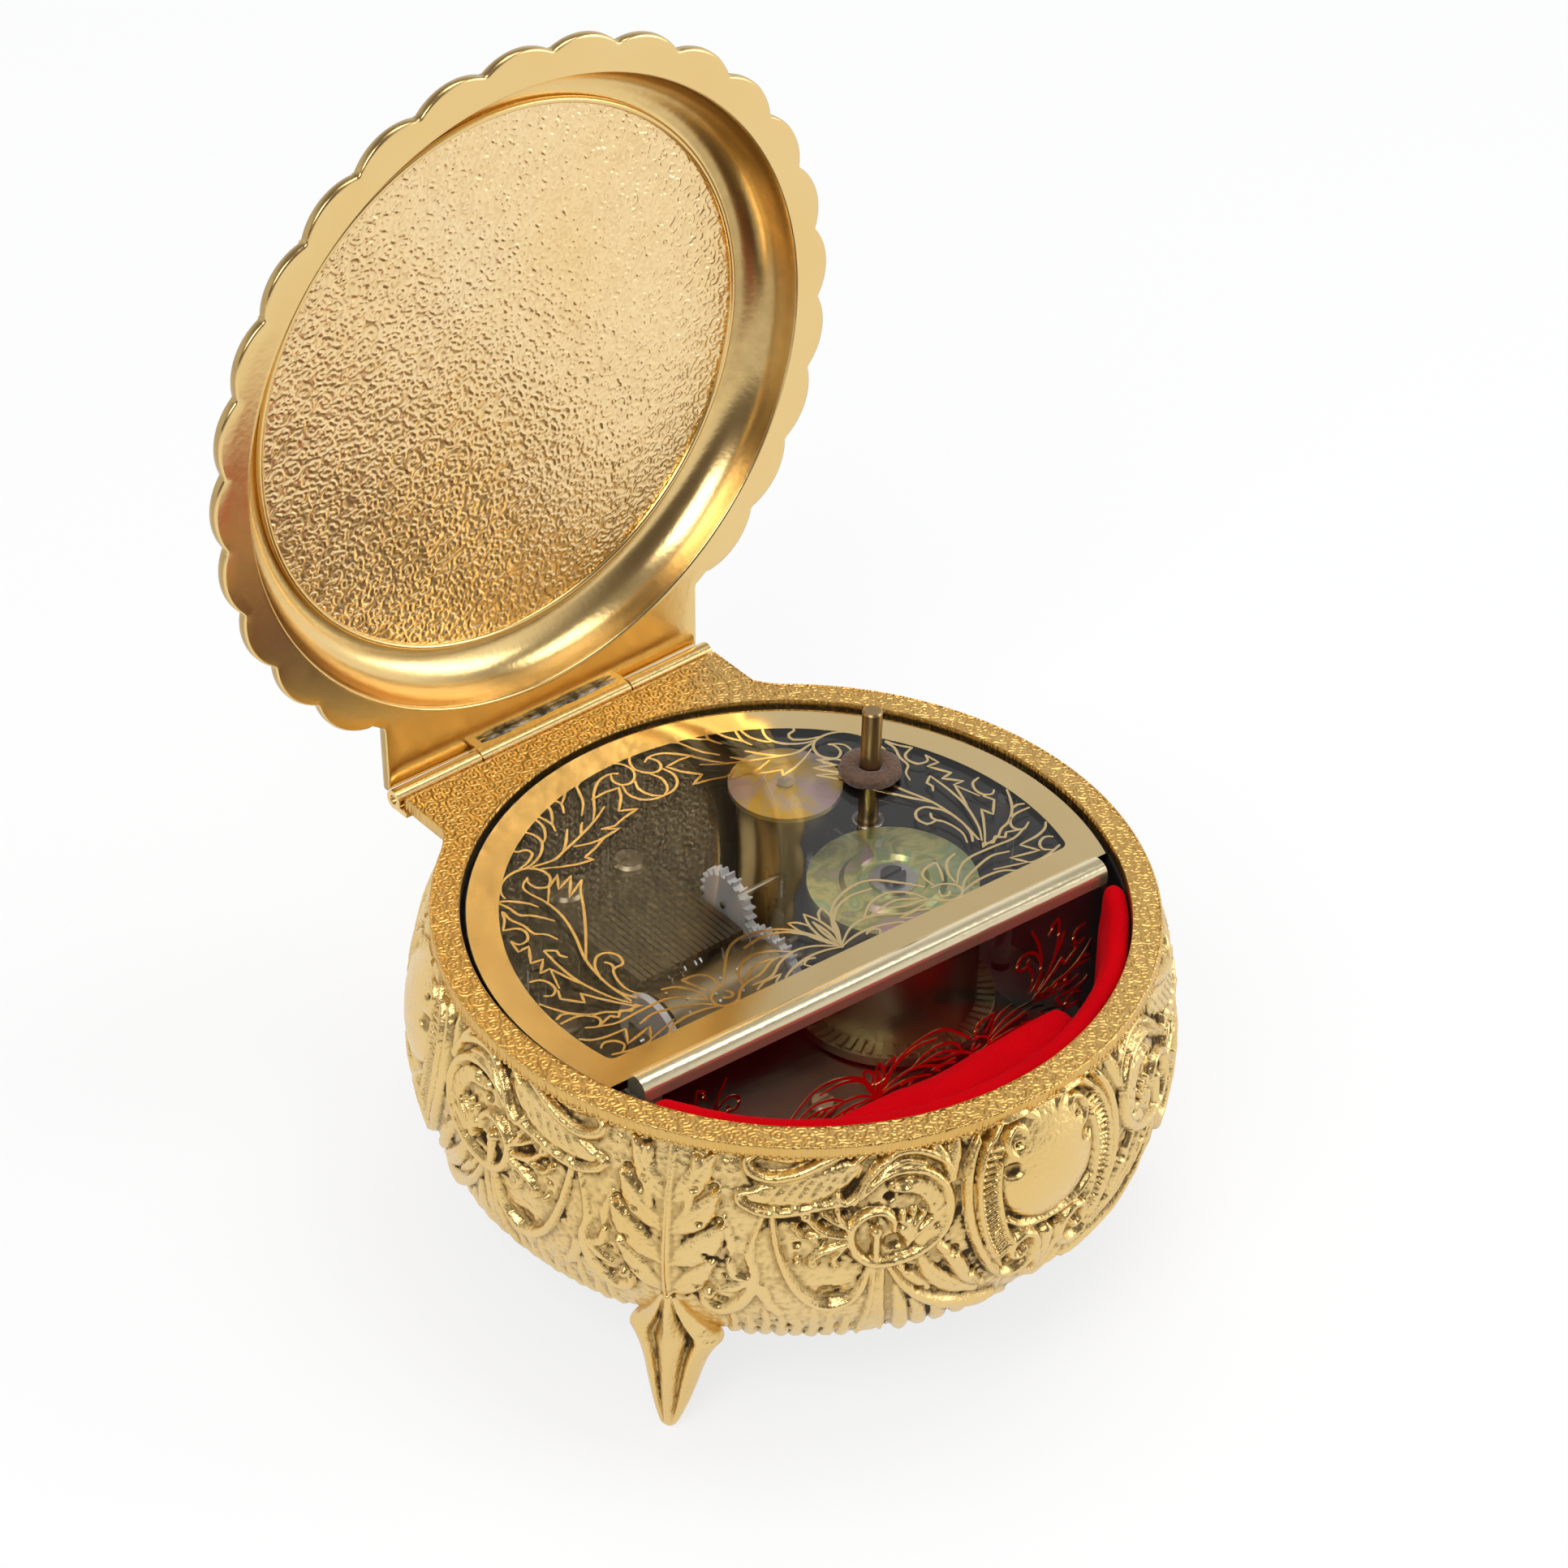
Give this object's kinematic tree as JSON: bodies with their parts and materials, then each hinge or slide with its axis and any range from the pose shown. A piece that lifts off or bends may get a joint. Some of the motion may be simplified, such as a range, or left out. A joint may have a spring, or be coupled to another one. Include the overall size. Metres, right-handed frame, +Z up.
{
  "type": "wind up music box",
  "caption": "Round footed trinket box with a hinged scalloped lid, a velvet compartment and a key wound musical movement under a clear insert that a lid pressed rod stops.",
  "frame": {"origin": "on the table, below the centre of the round opening", "axes": "+Z up, +Y towards the hinge, +X along the hinge line to the right as seen from the front"},
  "size_m": [0.1164, 0.1328, 0.1719],
  "materials": {
    "gilt_cast": "gilt casting, pale gold with brown in the hollows",
    "gilt_panel": "embossed gilt sheet",
    "gold_bright": "polished gold",
    "clear_plastic": "clear moulding with gold linework",
    "ridge_gold": "satin pale gold foil",
    "red_velvet": "bright red pile",
    "brown_felt": "dense felt",
    "zinc_steel": "plain steel",
    "dark_bed": "dark plated bed",
    "comb_steel": "grey hardened steel",
    "can_olive": "dark plated sheet",
    "chromate": "yellow iridescent plating",
    "cylinder_brass": "dull brass",
    "nylon": "white nylon",
    "rod_brass": "dull brass rod"
  },
  "bodies": {
    "case": {"case_shell": "gilt_cast", "feet": "gilt_cast", "base_plate": "zinc_steel", "base_screws": "zinc_steel", "hinge_knuckles": "gold_bright", "hinge_pin": "zinc_steel", "insert_window": "clear_plastic", "insert_ridge": "ridge_gold", "insert_wall": "clear_plastic", "insert_posts": "clear_plastic", "lining_wall": "red_velvet", "lining_floor": "red_velvet", "lining_pad": "red_velvet", "felt_washer": "brown_felt", "bed": "dark_bed", "bed_screws": "zinc_steel", "comb": "comb_steel", "comb_base": "dark_bed", "comb_screws": "chromate", "cylinder_bearings": "zinc_steel", "train_bearings": "zinc_steel", "governor_frame": "zinc_steel", "governor_can": "can_olive", "can_cap": "chromate", "cap_rivet": "zinc_steel", "rod_guide": "zinc_steel", "rod_spring": "zinc_steel", "lever_bracket": "zinc_steel"},
    "lid": {"lid_shell": "gilt_cast", "lid_panel": "gilt_panel", "lid_bead": "gold_bright", "lid_knuckle": "gold_bright"},
    "drum": {"spring_drum": "cylinder_brass", "drum_cover": "chromate", "mainspring": "comb_steel"},
    "key": {"winding_arbor": "comb_steel", "arbor_washer": "zinc_steel", "winding_key": "zinc_steel"},
    "cylinder": {"cylinder": "cylinder_brass", "cylinder_pins": "zinc_steel", "cylinder_arbor": "zinc_steel", "cylinder_wheel": "nylon", "cylinder_pinion": "cylinder_brass", "end_disc": "nylon"},
    "second": {"second_arbor": "zinc_steel", "second_wheel": "nylon", "worm_wheel": "nylon"},
    "fly": {"fly_shaft": "zinc_steel", "fly_blades": "nylon"},
    "rod": {"stop_rod": "rod_brass", "rod_collar": "zinc_steel"},
    "lever": {"stop_lever": "zinc_steel"}
  },
  "joints": [
    {"name": "lid_hinge", "type": "hinge", "parent": "case", "child": "lid", "pos_m": [0, 0.0585, 0.0559], "axis": [1, 0, 0], "range_deg": [0, 92.5]},
    {"name": "cylinder_spin", "type": "hinge", "parent": "case", "child": "cylinder", "pos_m": [-0.007, 0.0104, 0.0335], "axis": [1, 0, 0], "continuous": true},
    {"name": "drum_spin", "type": "hinge", "parent": "case", "child": "drum", "pos_m": [0.0224, 0.0032, 0.035], "axis": [0, 0, 1], "continuous": true},
    {"name": "second_spin", "type": "hinge", "parent": "case", "child": "second", "pos_m": [0.005, 0.02135, 0.0405], "axis": [1, 0, 0], "continuous": true},
    {"name": "fly_spin", "type": "hinge", "parent": "case", "child": "fly", "pos_m": [0.02, 0.02607, 0.04], "axis": [0, 0, 1], "continuous": true},
    {"name": "key_turn", "type": "hinge", "parent": "case", "child": "key", "pos_m": [0.0224, 0.0032, 0.018], "axis": [0, 0, 1], "continuous": true},
    {"name": "rod_slide", "type": "slide", "parent": "case", "child": "rod", "axis": [0, 0, 1], "range_m": [-0.0036, 0], "stiffness_N_per_m": 60, "deforming": ["rod_spring"]},
    {"name": "lever_pivot", "type": "hinge", "parent": "case", "child": "lever", "pos_m": [0.0302, 0.032, 0.03305], "axis": [1, 0, 0], "range_deg": [0, 15]}
  ],
  "couplings": [
    {"joint": "drum_spin", "follows": "cylinder_spin", "ratio": -0.16667},
    {"joint": "second_spin", "follows": "cylinder_spin", "ratio": -1.3636},
    {"joint": "fly_spin", "follows": "cylinder_spin", "ratio": -5.4545},
    {"joint": "rod_slide", "follows": "lid_hinge", "m_per_rad": -0.00216},
    {"joint": "lever_pivot", "follows": "lid_hinge", "ratio": 0.16}
  ]
}
